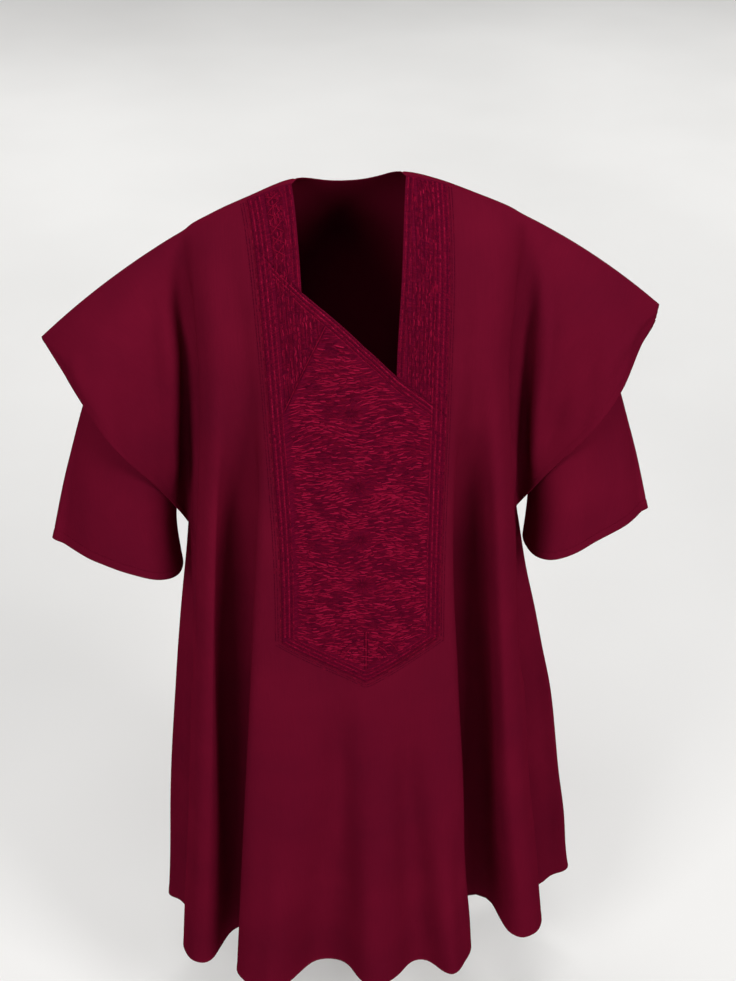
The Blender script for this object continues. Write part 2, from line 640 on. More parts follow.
# %% Sleeve tables
SLEEVE_RINGS = (
    # share, middle's share of the way out, height lost, outward x, outward height, half depth
    (0.00, 0.00, 232, 2, 92, 46.7),
    (0.16, 0.23, 276, 30, 104, 43),
    (0.40, 0.58, 362, 55, 88, 49),
    (0.70, 0.85, 482, 77, 54, 58),
    (1.00, 1.00, 597, 99, 29, 65),
)
SLEEVE_REACH = {-1: (250, 380), 1: (235, 362)}
SLEEVE_FOLD_SHARPNESS = 0.62
CUFF_FULLNESS = 0.85
CUFF_LEAN = 0.59
SLEEVE_LENGTH = 430
SLEEVE_ROWS, SLEEVE_TURNS = 46, 96
EVEN_ROWS_END = 44  # the height above the cuff where the rows start to crowd
SLEEVE_CREASES = (
    # turn round the sleeve, share from, half width in turns, height
    (0.07, 0.20, 0.030, -3.0),
    (0.15, 0.35, 0.035, 2.6),
    (0.24, 0.25, 0.040, -3.4),
    (0.36, 0.40, 0.035, 2.4),
    (0.47, 0.30, 0.045, -3.0),
    (0.60, 0.35, 0.040, 2.8),
    (0.72, 0.25, 0.045, -3.2),
    (0.84, 0.40, 0.035, 2.6),
    (0.93, 0.30, 0.030, -2.6),
)

# %% The rings of a sleeve
def sleeve_grid(side, shares, turns):
    """The rings of a sleeve, which is sharper on its folded outer side and fuller at the cuff."""
    rings = np.array(SLEEVE_RINGS, float)
    way_out, lost, out_x, out_z, depth = smooth(rings[:, 0], rings[:, 1:], shares).T[:, :, None]
    root_x, cuff_x = SLEEVE_REACH[side]
    along, across = np.cos(2 * np.pi * turns), np.sin(2 * np.pi * turns)
    at_armhole = 1 - SLEEVE_FOLD_SHARPNESS * np.maximum(along, 0) ** 2
    at_cuff = CUFF_FULLNESS - CUFF_LEAN * along
    across = across * (at_armhole + (at_cuff - at_armhole) * shares[:, None] ** 2)
    x = side * (root_x + (cuff_x - root_x) * way_out + out_x * along)
    return np.stack([x, depth * across, -lost + out_z * along], -1)


def ring_ways(grid, side):
    """Outward directions on a tube of rings whose last column repeats the first."""
    wrapped = np.concatenate([grid[:, -2:-1], grid, grid[:, 1:2]], 1)
    ways = unit(np.cross(np.gradient(wrapped, axis=1), np.gradient(wrapped, axis=0))[:, 1:-1])
    return ways if ways[-1, 0, 0] * side > 0 else -ways

# %% Make the sleeves
def make_sleeve(name, side):
    """A sleeve's closed wall, and its outer points and directions, which its stitches are laid on."""
    above = np.array(HEM_STEPS)[::-1]
    even = np.linspace(0, 1 - EVEN_ROWS_END / SLEEVE_LENGTH, SLEEVE_ROWS)
    shares = np.concatenate([even, 1 - above / SLEEVE_LENGTH])
    turns = np.linspace(0, 1, SLEEVE_TURNS + 1)
    grid = sleeve_grid(side, shares, turns)
    ways = ring_ways(grid, side)
    height = np.zeros(grid.shape[:2])
    for turn, start, half_width, tall in SLEEVE_CREASES:
        turn = turn if side < 0 else 1.02 - turn
        apart = (turns - turn - 0.03 * np.sin(4 * shares[:, None]) + 0.5) % 1 - 0.5
        height += tall * ramp(shares, start, 1)[:, None] * np.exp(-((apart / half_width) ** 2))
    grid = grid + ways * height[..., None]
    ways = ring_ways(grid, side)
    lift, wall = turned_hem(((1 - shares) * SLEEVE_LENGTH)[:, None], CUFF_PRESS)
    outer = grid + ways * lift[..., None]
    inner = outer - ways * wall[..., None]
    u = travelled(outer, 1)
    uv = np.stack([u, np.broadcast_to(-shares[:, None] * SLEEVE_LENGTH, u.shape)], -1)
    cells = np.ones((len(shares) - 1, len(turns) - 1), bool)
    quad = np.cross(grid[1, 0] - grid[0, 0], grid[0, 1] - grid[0, 0])
    made = wall_mesh(name, outer, inner, cells, uv, quad @ ways[0, 0] < 0, closed=True)
    return made, outer, ways


half_sleeve_left, left_grid, left_ways = make_sleeve("half_sleeve_left", -1)
half_sleeve_right, right_grid, right_ways = make_sleeve("half_sleeve_right", 1)

# %% [markdown]
# ## The embroidered ground
# The chest of the robe carries a backed panel, fully covered with thread, that ends in a pointed foot. A band
# goes up to each shoulder. Each is a thin piece of its own that lies on the front.

# %% Make the grounds
GROUND_LOW, GROUND_HIGH = 0.3, 1.0
GROUND_COLUMNS = 7  # mesh columns for each of the panel's own
PARTING = 0.8


def ground(name, column_from, column_to, top, foot, rows):
    """A thin covered piece between two columns of the front, from the top line to the foot line."""
    columns = np.linspace(column_from, column_to, int((column_to - column_from) * GROUND_COLUMNS) + 1)
    top, foot = top(columns), foot(columns)
    way = np.linspace(0, 1, rows + 1)[:, None]
    share = top + (foot - top) * way
    column = np.broadcast_to(columns, share.shape)
    outer, inner = front.spot(share, column, GROUND_HIGH), front.spot(share, column, GROUND_LOW)
    uv = np.stack([front.read(front.along, share, column), -front.read(front.fallen, share, column)], -1)
    return wall_mesh(name, outer, inner, np.ones((rows, len(columns) - 1), bool), uv, False)


PART_SHARE = PARTING / LENGTH
EDGE_LEFT, EDGE_RIGHT = front.column["panel edge left"], front.column["panel edge right"]
NECK_LEFT, NECK_RIGHT = front.column["neck left"], front.column["neck right"]


def slant(columns):
    return marked(SLANT_MARKS, front, columns)


def foot_line(columns):
    return marked(FOOT_MARKS, front, columns)


def shoulder_line(columns):
    return np.zeros(len(columns))


def band_foot(columns):
    return slant(columns) - PART_SHARE


def pocket_top(columns):
    return slant(columns) + PART_SHARE


pocket_ground = ground("pocket_ground", EDGE_LEFT, EDGE_RIGHT, pocket_top, foot_line, 190)
band_ground_left = ground("band_ground_left", EDGE_LEFT, NECK_LEFT, shoulder_line, band_foot, 44)
band_ground_right = ground("band_ground_right", NECK_RIGHT, EDGE_RIGHT, shoulder_line, band_foot, 100)

# %% [markdown]
# ## A flat drawing board for the embroidery
# A design is drawn flat and then laid on the body. Here x runs across the panel, from -120 at its left edge
# to 120 at its right edge, and y runs down from the shoulder line, both in millimetres. The board is a table
# of the front's points on that net, so any stitch drawn on it can be laid on the cloth.

# %% The board
BOARD_HALF = 120
BOARD_REACH, BOARD_LENGTH = 140, 850
BOARD_STEP = 2.0


class Board:
    """A net of cloth points on flat coordinates a (across) and b (down)."""

    def __init__(self, a, b, points, ways):
        self.a, self.b, self.points, self.ways = a, b, points, ways

    def lay(self, a, b, lift):
        """Points on the cloth at any flat place, lifted off its surface."""
        at_a = np.clip((a - self.a[0]) / (self.a[1] - self.a[0]), 0, len(self.a) - 1.000001)
        at_b = np.clip((b - self.b[0]) / (self.b[1] - self.b[0]), 0, len(self.b) - 1.000001)
        j, i = at_a.astype(int), at_b.astype(int)
        s, t = (at_a - j)[..., None], (at_b - i)[..., None]

        def mixed(net):
            return (net[i, j] * (1 - s) + net[i, j + 1] * s) * (1 - t) + (
                net[i + 1, j] * (1 - s) + net[i + 1, j + 1] * s) * t

        return mixed(self.points) + unit(mixed(self.ways)) * np.asarray(lift)[..., None]


# %% Lay the board on the chest
board_x = np.arange(-BOARD_REACH, BOARD_REACH + BOARD_STEP, BOARD_STEP)
board_y = np.arange(0, BOARD_LENGTH, BOARD_STEP)
middle_fall = front.fallen[:, front.index("centre")]
board_share = np.interp(board_y, middle_fall, front.shares)
board_left, board_right = (front.read(front.along, board_share, edge) for edge in (EDGE_LEFT, EDGE_RIGHT))
net_points, net_ways = [], []
for at_share, low, high in zip(board_share, board_left, board_right):
    along = front.read(front.along, at_share, front.columns)
    columns = np.interp(low + (board_x / (2 * BOARD_HALF) + 0.5) * (high - low), along, front.columns)
    net_points.append(front.read(front.points, at_share, columns))
    net_ways.append(front.read(front.ways, at_share, columns))
chest = Board(board_x, board_y, np.array(net_points), np.array(net_ways))


def board_place(column, share):
    """The board's x and y of places on the front."""
    y = np.interp(share, front.shares, middle_fall)
    along = front.read(front.along, share, column)
    low, high = (np.interp(y, board_y, line) for line in (board_left, board_right))
    return ((along - low) / (high - low) - 0.5) * 2 * BOARD_HALF, y


def edge_x(side, inwards, y):
    """The board's x a real distance inwards from the panel's edge."""
    scale = 2 * BOARD_HALF / np.interp(y, board_y, board_right - board_left)
    return side * (BOARD_HALF - inwards * scale)


print("the panel is", round(float((board_right - board_left).min())), "mm wide at its narrowest")

# %% [markdown]
# ## One stitch, modelled once
# Rayon thread lies on the cloth in low rounded strokes that sink at both ends. One stroke is enough: a cube
# is drawn out, its upper side narrowed, cut across by Subdivide and its ends pinched. Every stitch of the
# robe is a copy of this one, bent along its own path.

# %% Model the stitch
TOP_WIDTH = 0.56
END_WIDTH, END_HEIGHT = 0.5, 0.35


def model_stitch(name, cuts):
    """The stitch's points and faces, one long, one wide and one high."""
    bpy.ops.object.select_all(action="DESELECT")
    bpy.ops.mesh.primitive_cube_add(size=1, location=(0, 0, 0.5))
    stitch = bpy.context.object
    stitch.name = name
    bpy.ops.object.mode_set(mode="EDIT")
    body = bmesh.from_edit_mesh(stitch.data)
    for vertex in body.verts:
        vertex.select_set(vertex.co.z > 0)
    body.select_flush(True)
    bpy.ops.transform.resize(value=(1, TOP_WIDTH, 1), center_override=(0, 0, 0.5))
    for edge in body.edges:
        edge.select_set(abs(edge.verts[0].co.x - edge.verts[1].co.x) > 0.5)
    bpy.ops.mesh.subdivide(number_cuts=cuts)
    body = bmesh.from_edit_mesh(stitch.data)
    for vertex in body.verts:
        vertex.select_set(abs(vertex.co.x) > 0.49)
    body.select_flush(False)
    bpy.ops.transform.resize(value=(1, END_WIDTH, END_HEIGHT), center_override=(0, 0, -0.5))
    bpy.ops.object.mode_set(mode="OBJECT")
    bpy.ops.object.transform_apply(location=True, rotation=False, scale=True)
    shape = np.array([vertex.co[:] for vertex in stitch.data.vertices])
    faces = np.array([face.vertices[:] for face in stitch.data.polygons])
    bpy.data.objects.remove(stitch)
    shape[:, 2] -= shape[:, 2].min()
    shape[:, 2] /= shape[:, 2].max()
    print(name, "has", len(faces), "faces")
    return shape, faces


LONG_STITCH = model_stitch("long_stitch", 3)
SHORT_STITCH = model_stitch("short_stitch", 1)

# %% [markdown]
# ## Sewing
# A seam of stitches is a list of strokes: start, end, how far the stroke bows to one side, width, height, how
# far off the cloth it starts, and its shade, from 0 for plum to 1 for the brightest crimson.

# %% Sewing helpers
STROKE_OVERLAP = 0.08


class Strokes:
    """A list of stitches that are sewn together as one piece."""

    def __init__(self):
        self.rows = []

    def add(self, start, end, bow, width, height, lift, shade):
        self.rows.append((*start, *end, bow, width, height, lift, shade))

    def run(self, path, length, width, height, lift, shade, vary, chance):
        """Strokes end to end along a path of points."""
        path = np.asarray(path, float)
        way = travelled(path)
        count = max(int(round(way[-1] / length)), 1)
        stops = np.linspace(0, way[-1], count + 1)
        points = np.stack([np.interp(stops, way, path[:, k]) for k in (0, 1)], 1)
        for start, end in zip(points, points[1:]):
            reach = (end - start) * STROKE_OVERLAP
            tone = float(np.clip(shade + chance.normal(0, vary), 0, 1))
            self.add(start - reach, end + reach, 0.0, width, height, lift, tone)

# %% Bend the stitch along every stroke
def sew(name, strokes, shape_and_faces, board):
    """All strokes as one mesh of bent copies of the stitch, with each stroke's shade on its points."""
    shape, faces = shape_and_faces
    rows = np.array(strokes.rows)
    start, end = rows[:, None, 0:2], rows[:, None, 2:4]
    bow, width, height, lift, shade = (rows[:, None, k] for k in range(4, 9))
    t = shape[None, :, 0] + 0.5
    way = end - start
    length = np.linalg.norm(way, axis=2)
    aside = np.stack([-way[..., 1], way[..., 0]], -1) / length[..., None]
    centre = start + way * t[..., None]
    shift = bow * 4 * t * (1 - t) + shape[None, :, 1] * width
    place = centre + aside * shift[..., None]
    points = board.lay(place[..., 0], place[..., 1], lift + shape[None, :, 2] * height)
    count = len(shape)
    all_faces = (faces[None] + (np.arange(len(rows)) * count)[:, None, None]).reshape(-1, 4)
    uv = np.stack([np.broadcast_to(t * length, points.shape[:2]), shape[None, :, 1] * width], -1)
    made = cloth_object(name, points.reshape(-1, 3), all_faces, uv.reshape(-1, 2)[all_faces])
    tone = made.data.attributes.new("shade", "FLOAT", "POINT")
    tone.data.foreach_set("value", np.repeat(rows[:, 8], count).astype(np.float32))
    body = bmesh.new()
    body.from_mesh(made.data)
    bmesh.ops.recalc_face_normals(body, faces=body.faces)
    body.to_mesh(made.data)
    body.free()
    print(name, "is", len(rows), "stitches")
    return made


# %% Border lines round the panel
chance = np.random.default_rng(11)
ON_GROUND = GROUND_HIGH - 0.1
BORDER_LINES = (
    # distance inwards from the panel's edge, width, shade
    (-10.0, 1.3, 0.04),
    (-6.2, 1.4, 0.08),
    (-2.4, 1.7, 0.36),
    (1.0, 1.6, 0.04),
    (4.4, 2.1, 0.52),
    (7.8, 1.7, 0.04),
    (11.2, 2.1, 0.56),
    (14.6, 1.7, 0.06),
    (17.6, 1.9, 0.46),
)
RIGHT_INWARD_SHIFT = 3.0
ON_CLOTH = -0.15  # lines outside the ground sink into the suiting a little
BORDER_STITCH, BRAID_STITCH = 5.2, 5.0
foot_columns = np.array([EDGE_LEFT, front.column["centre"], EDGE_RIGHT], float)
foot_x, foot_y = board_place(foot_columns, foot_line(foot_columns))
FOOT_SLOPE = (foot_y[1] - foot_y[0]) / (foot_x[1] - foot_x[0])


def foot_height(x, inwards):
    """The y of a line parallel to the pointed foot."""
    drop = inwards * math.sqrt(1 + FOOT_SLOPE**2)
    return foot_y[1] - drop - FOOT_SLOPE * np.abs(x - foot_x[1])


borders = Strokes()
for inwards, width, shade in BORDER_LINES:
    y = np.linspace(4, 760, 90)
    uprights = []
    for side, shift in ((-1, 0), (1, RIGHT_INWARD_SHIFT)):
        path = np.stack([edge_x(side, inwards + shift, y), y], 1)
        uprights.append(path[path[:, 1] < foot_height(path[:, 0], inwards)])
    foot = np.linspace(uprights[0][-1, 0], uprights[1][-1, 0], 41)
    foot = np.stack([foot, foot_height(foot, inwards)], 1)
    for path, shift in ((uprights[0], 0), (uprights[1], RIGHT_INWARD_SHIFT), (foot, 0)):
        lift = ON_GROUND if inwards + shift > 0 else ON_CLOTH
        borders.run(path, BORDER_STITCH, width, 0.65, lift, shade, 0.15, chance)
border_stitches = sew("border_stitches", borders, SHORT_STITCH, chest)

# %% The braid along the slanting neck edge
slant_columns = np.linspace(EDGE_LEFT, EDGE_RIGHT, 60)
slant_x, slant_y = board_place(slant_columns, slant(slant_columns))


def braid_y(x):
    return np.interp(x, slant_x, slant_y)


BRAID_LINES = (
    # distance below the neck edge, width, shade
    (1.6, 1.4, 0.05),
    (4.2, 2.1, 0.62),
    (7.2, 1.5, 0.05),
    (10.0, 1.9, 0.56),
    (12.8, 1.4, 0.08),
    (15.2, 1.5, 0.52),
)
BRAID_HALF = 101
SLANT_STRETCH = 1.3  # a distance square to the slant, measured straight down
braid = Strokes()
for below, width, shade in BRAID_LINES:
    x = np.linspace(-BRAID_HALF, BRAID_HALF, 80)
    y = braid_y(x) + below * SLANT_STRETCH
    braid.run(np.stack([x, y], 1), BRAID_STITCH, width, 0.75, ON_GROUND, shade, 0.15, chance)
neck_braid = sew("neck_braid", braid, SHORT_STITCH, chest)

# %% Upright lines and dashes in the shoulder bands
GABLE_FOOT, GABLE_TOP = (-103, 346), (-40, 226)


def gable_y(x):
    """The lower edge of the left band, which rises from the border to the braid."""
    return np.interp(x, (GABLE_FOOT[0], GABLE_TOP[0]), (GABLE_FOOT[1], GABLE_TOP[1]))


neck_y = np.linspace(0, 330, 60)
neck_shares = np.interp(neck_y, board_y, board_share)
neck_left_x, _ = board_place(np.full(60, float(NECK_LEFT)), neck_shares)
neck_right_x, _ = board_place(np.full(60, float(NECK_RIGHT)), neck_shares)


def band_span(x):
    """Where an upright line at x starts and ends, or None where there is no cloth for it."""
    if x < GABLE_TOP[0]:
        covered = neck_left_x > x + 14
        start = 6.0 if covered[neck_y < braid_y(x)].all() else float(braid_y(x)) + 21
        end = float(gable_y(x)) - 4
    else:
        inside = np.flatnonzero(neck_right_x < x - 10)
        if not len(inside):
            return None
        start, end = max(float(neck_y[inside[0]]), 6.0), float(braid_y(x)) - 2.5
    return (start, end) if end - start > 8 else None


bands = Strokes()
BAND_SPACING = 5.4
LEFT_BAND, RIGHT_BAND = (-98, GABLE_TOP[0]), (55, 100)
DASH = (4, 12)
DASH_TONE = (0.38, 0.22)
for x in [*np.arange(*LEFT_BAND, BAND_SPACING), *np.arange(*RIGHT_BAND, BAND_SPACING)]:
    span = band_span(x)
    if span is None:
        continue
    start, end = span
    y = np.linspace(start, end, 30)
    bands.run(np.stack([x + 0.5 * np.sin(y / 23 + x), y], 1), 6.5, 1.4, 0.6, ON_GROUND, 0.06, 0.06, chance)
    for offset in (1.5, 3.5):
        at = start + chance.uniform(0, 6)
        while at < end - DASH[0]:
            stop = min(at + chance.uniform(*DASH), end)
            aside = x + offset + chance.uniform(-1.0, 1.0)
            tone = float(np.clip(chance.normal(*DASH_TONE), 0.05, 1))
            bands.add((aside, at), (aside + chance.uniform(-1.2, 1.2), stop), chance.uniform(-0.8, 0.8),
                      chance.uniform(1.2, 2.0), 0.75, ON_GROUND, tone)
            at = stop + chance.uniform(-1, 5)

# %% Lines along the neck and the gable, and a lattice
NECK_LINES = ((2.6, 0.46), (5.6, 0.05), (8.6, 0.40))  # distance from the neck edge, shade
GABLE_LINES = ((-3.0, 0.05), (0.4, 0.50), (3.8, 0.05))  # drop below the gable, shade
LATTICE_X, LATTICE_TOP, LATTICE_HALF, LATTICE_CROSSES = -90, 16, 9, 6
for inwards, shade in NECK_LINES:
    for side, edge in ((-1, neck_left_x), (1, neck_right_x)):
        x = edge + side * inwards
        on_cloth = (neck_y > 4) & (neck_y < braid_y(x) - 3)
        bands.run(np.stack([x, neck_y], 1)[on_cloth], 6, 1.7, 0.75, ON_GROUND, shade, 0.12, chance)
for drop, shade in GABLE_LINES:
    x = np.linspace(GABLE_FOOT[0] + 4, GABLE_TOP[0], 12)
    bands.run(np.stack([x, gable_y(x) + drop], 1), 6, 1.6, 0.8, ON_GROUND + 0.1, shade, 0.1, chance)
for k in range(LATTICE_CROSSES):
    for lean in (-LATTICE_HALF, LATTICE_HALF):
        y = LATTICE_TOP + 2 * LATTICE_HALF * k
        start, end = (LATTICE_X - lean, y), (LATTICE_X + lean, y + 2 * LATTICE_HALF)
        bands.add(start, end, 0.0, 1.3, 0.95, ON_GROUND + 0.2, 0.60)
band_stitches = sew("band_stitches", bands, LONG_STITCH, chest)

# %% [markdown]
# ## The field
# Below the gable the panel is filled with short, nearly level stitches in crimson and plum, which swing up
# and down in waves. Round figures with spokes sit on the middle line, and a fan stands in the foot.

# %% Field stitches
FIELD_HALF = 98
FIELD_MARGIN = 20.5
SPOKES = 28
FIGURES = (
    # x, y, half width, half height
    (-10, 352, 21, 15),
    (-4, 470, 25, 19),
    (-1, 561, 25, 18),
    (1, 640, 22, 16),
)


def field_top(x):
    return np.where(x < GABLE_TOP[0], gable_y(x), braid_y(x) + 20)


def in_figure(x, y):
    ragged = 0.8 + 0.2 * math.sin(x * 1.9) * math.sin(y * 1.3)
    return any(((x - fx) / w) ** 2 + ((y - fy) / h) ** 2 < ragged for fx, fy, w, h in FIGURES)


def tide(x, y):
    """A slow, uneven rise and fall, from -1 to 1, that sets lean and shade over the field."""
    return 0.6 * math.sin(x / 17 + 2.2 * math.sin(y / 41)) + 0.4 * math.sin(y / 13 - x / 31 + 1.0)


field = Strokes()
FIELD_END = 815
ROW_GAP = 2.6
FIELD_STITCH = (5, 15)
FIELD_LEAN = 15  # degrees
for y in np.arange(GABLE_TOP[1], FIELD_END, ROW_GAP):
    x = -FIELD_HALF + chance.uniform(0, 8)
    while x < FIELD_HALF - 3:
        length = chance.uniform(*FIELD_STITCH)
        rise = math.tan(math.radians(FIELD_LEAN * tide(x, y) + chance.uniform(-FIELD_LEAN, FIELD_LEAN)))
        end_x = min(x + length, FIELD_HALF)
        start, end = (x, y), (end_x, y - rise * (end_x - x))
        clear = all(field_top(a) + 2 < b < foot_height(a, FIELD_MARGIN) for a, b in (start, end))
        if clear and not in_figure((start[0] + end[0]) / 2, (start[1] + end[1]) / 2):
            patch = tide(y * 1.3, x * 1.7)
            bright = chance.uniform() < 0.46 + 0.26 * patch
            tone = chance.uniform(0.52, 1.0) if bright else chance.uniform(0.0, 0.46 + 0.24 * patch)
            width = chance.uniform(1.4, 2.3)
            height = chance.uniform(0.8, 1.1) if bright else 0.7
            field.add(start, end, chance.uniform(-0.8, 0.8), width, height, ON_GROUND, tone)
        x = end_x + chance.uniform(-2.0, 2.0)
field_stitches = sew("field_stitches", field, LONG_STITCH, chest)

# %% Round figures and a fan
FAN_HEIGHT = 70
FAN_SHADES = (0.60, 0.06, 0.66, 0.08, 0.56)
figures = Strokes()
for fx, fy, w, h in FIGURES:
    for k in range(SPOKES):
        turn = 2 * math.pi * (k + 0.5) / SPOKES
        c, s = math.cos(turn) * w, math.sin(turn) * h
        near, far = (0.10, 0.45) if k % 2 else (0.34, chance.uniform(0.8, 1.0))
        tone = float(np.clip(chance.normal(0.12 if k % 2 else 0.34, 0.05), 0, 1))
        start, end = (fx + c * near, fy + s * near), (fx + c * far, fy + s * far)
        figures.add(start, end, 0, 1.8, 0.75, ON_GROUND, tone)
FAN_FOOT = (foot_x[1], foot_height(foot_x[1], 23))
for aside, tone in ((-2.2, 0.05), (0, 0.60), (2.2, 0.05)):
    x = FAN_FOOT[0] + aside
    stem = [(x, FAN_FOOT[1]), (x, FAN_FOOT[1] - FAN_HEIGHT)]
    figures.run(stem, 8, 1.7, 1.0, ON_GROUND + 0.15, tone, 0.05, chance)
for side in (-1, 1):
    for k, tone in enumerate(FAN_SHADES):
        turn = np.linspace(0, 1.35, 12)
        reach = 22 + 9 * k
        arc = np.stack([
            FAN_FOOT[0] + side * (5 + reach * np.sin(turn) * 0.8), FAN_FOOT[1] - 6 - reach * np.cos(turn)], 1)
        arc = arc[arc[:, 1] < foot_height(arc[:, 0], 22)]
        figures.run(arc, 7, 1.6, 0.95, ON_GROUND + 0.1, tone, 0.08, chance)
figure_stitches = sew("figure_stitches", figures, LONG_STITCH, chest)

# %% [markdown]
# ## Hem stitching
# Every turned edge is held down by one row of small stitches in the cloth's own colour.

# %% Boards along the free edges
STRIP_STEP = 3.0
STRIP_HEIGHTS = np.arange(10, 22, 1.0)


def edge_board(drape, end_share, column_from, column_to):
    """A strip of cloth along a free edge: a runs along the edge, b is the height above it."""
    columns = np.linspace(column_from, column_to, int(abs(column_to - column_from) * FINE * 2) + 1)
    way = travelled(drape.read(drape.points, end_share, columns))
    a, b = np.arange(0, way[-1], STRIP_STEP), STRIP_HEIGHTS
    points, ways = [], []
    for c in np.interp(a, way, columns):
        fallen = drape.read(drape.fallen, drape.shares, c)
        end = np.interp(end_share, drape.shares, fallen)
        shares = np.interp(end - b, fallen, drape.shares)
        points.append(drape.read(drape.points, shares, c))
        ways.append(drape.read(drape.ways, shares, c))
    return Board(a, b, np.array(points).swapaxes(0, 1), np.array(ways).swapaxes(0, 1))


HEM_STITCH_LIFT, CUFF_STITCH_LIFT = -0.62, 0.05
HEM_STITCH_GAP, HEM_STITCH_LENGTH = 5.0, 3.4


def stitch_edge(name, boards, lift):
    """One row of stitches along each board."""
    rows = []
    for k, board in enumerate(boards):
        strokes = Strokes()
        for start in np.arange(board.a[0] + 3, board.a[-1] - 5, HEM_STITCH_GAP):
            strokes.add((start, HEM_STITCH), (start + HEM_STITCH_LENGTH, HEM_STITCH), 0, 0.8, 0.55, lift, 0.3)
        rows.append(sew(f"{name}_{k + 1}", strokes, SHORT_STITCH, board))
    return rows


hem_stitches = []
for name, drape in (("front_hem_stitches", front), ("back_hem_stitches", back)):
    boards = [
        edge_board(drape, 1.0, 0.1, drape.width - 0.1),
        edge_board(drape, WING_FOOT, 0.1 - drape.reach, -0.4),
        edge_board(drape, WING_FOOT, drape.width + 0.4, drape.width + drape.reach - 0.1),
    ]
    hem_stitches += stitch_edge(name, boards, HEM_STITCH_LIFT)

# %% Cuff stitching
def cuff_board(grid, ways):
    """The strip above a cuff, from the sleeve's last rows."""
    above = np.array(HEM_STEPS)[::-1]
    rows = slice(-len(HEM_STEPS), None)
    way = travelled(grid[-1])
    a, b = np.arange(0, way[-1], STRIP_STEP), STRIP_HEIGHTS
    nets = []
    for net in (grid[rows], ways[rows]):
        along = np.stack([[np.interp(a, way, row[:, k]) for k in range(3)] for row in net])
        nets.append(np.stack([
            [np.interp(b, above[::-1], along[::-1, k, i]) for k in range(3)] for i in range(len(a))
        ]).transpose(2, 0, 1))
    return Board(a, b, *nets)


cuffs = [cuff_board(left_grid, left_ways), cuff_board(right_grid, right_ways)]
cuff_stitches = stitch_edge("cuff_stitches", cuffs, CUFF_STITCH_LIFT)

# %% [markdown]
# ## Finishes
# Worsted suiting is a smooth wool twill: almost matt, with a faint glow at grazing light from its fine nap.
# Rayon embroidery thread is shinier, and no two strokes catch the light alike, so each stroke carries its
# own shade. Neither gets mirror gloss, which would turn so deep a red grey at the edges. Both are drawn on
# the pieces' own UV map, which is in metres of cloth, so every pattern has its real size.

# %% Colour and node helpers
def linear(hex_colour):
    """An sRGB hex colour as linear red, green, blue and 1."""
    parts = [int(hex_colour[i : i + 2], 16) / 255 for i in (1, 3, 5)]
    return (*(c / 12.92 if c <= 0.04045 else ((c + 0.055) / 1.055) ** 2.4 for c in parts), 1.0)


def wire(node, values=(), links=()):
    """Sets a node's own values and links its sockets to (node, output) pairs."""
    for socket, value in dict(values).items():
        node.inputs[socket].default_value = value
    for socket, (source, output) in dict(links).items():
        node.id_data.links.new(source.outputs[output], node.inputs[socket])
    return node


def add_node(tree, kind, values=(), links=(), stops=(), **settings):
    """Adds a node with its settings, values and links, and a ramp's colours by position."""
    made = tree.nodes.new("ShaderNode" + kind)
    for name, value in settings.items():
        setattr(made, name, value)
    while stops and len(made.color_ramp.elements) < len(stops):
        made.color_ramp.elements.new(0.5)
    for k, (position, colour) in enumerate(stops):
        made.color_ramp.elements[k].position = position
        made.color_ramp.elements[k].color = linear(colour)
    return wire(made, values, links)


def new_material(name):
    material = bpy.data.materials.new(name)
    material.use_nodes = True
    return material, material.node_tree, material.node_tree.nodes["Principled BSDF"]


WAVE_TURN = math.pi / 10  # a Wave texture at scale 1 repeats after this length

# %% Burgundy worsted suiting
TWILL_PITCH = 0.0011  # real twill lines are 0.4 mm apart, drawn wider so that they show at all
SLUB_WIDTH, SLUB_LENGTH = 0.0016, 0.060


def burgundy_suiting():
    """Smooth wool twill, piece-dyed: even colour, soft nap, fine diagonal ribs."""
    material, tree, shader = new_material("burgundy worsted suiting")
    place = add_node(tree, "TexCoord")
    at_twill = add_node(tree, "Mapping", {"Scale": [WAVE_TURN / TWILL_PITCH] * 3}, {"Vector": (place, "UV")})
    twill = add_node(tree, "TexWave", {"Scale": 1.0, "Distortion": 0.6, "Detail": 1.0, "Detail Scale": 0.8},
                     {"Vector": (at_twill, "Vector")}, bands_direction="DIAGONAL")
    at_slub = add_node(tree, "Mapping", {"Scale": (1 / SLUB_WIDTH, 1 / SLUB_LENGTH, 1)},
                       {"Vector": (place, "UV")})
    slub = add_node(tree, "TexNoise", {"Scale": 1.0, "Detail": 2.0}, {"Vector": (at_slub, "Vector")})
    mottle = add_node(tree, "TexNoise", {"Scale": 7.0, "Detail": 3.0, "Roughness": 0.5},
                      {"Vector": (place, "Object")})
    faint = add_node(tree, "Math", {1: 0.35}, {0: (slub, "Fac")}, operation="MULTIPLY")
    blend = add_node(tree, "Math", {}, {0: (faint, 0), 1: (mottle, "Fac")}, operation="ADD")
    dyes = ((0.30, "#590c22"), (0.67, "#620d24"), (1.0, "#6a0f27"))
    tone = add_node(tree, "ValToRGB", {}, {"Fac": (blend, 0)}, dyes)
    rough = add_node(tree, "MapRange", {"To Min": 0.52, "To Max": 0.68}, {"Value": (mottle, "Fac")})
    ribs = add_node(tree, "Math", {}, {0: (twill, "Fac"), 1: (slub, "Fac")}, operation="ADD")
    bump = add_node(tree, "Bump", {"Strength": 0.22, "Distance": 0.0003}, {"Height": (ribs, 0)})
    wire(shader, {"Sheen Weight": 0.05, "Sheen Roughness": 0.45, "Sheen Tint": linear("#d8143c"),
                  "Specular IOR Level": 0.0},
         {"Base Color": (tone, "Color"), "Roughness": (rough, "Result"), "Normal": (bump, "Normal")})
    return material

# %% Rayon thread
STRAND_PITCH = 0.0007  # the two twisted strands of the thread


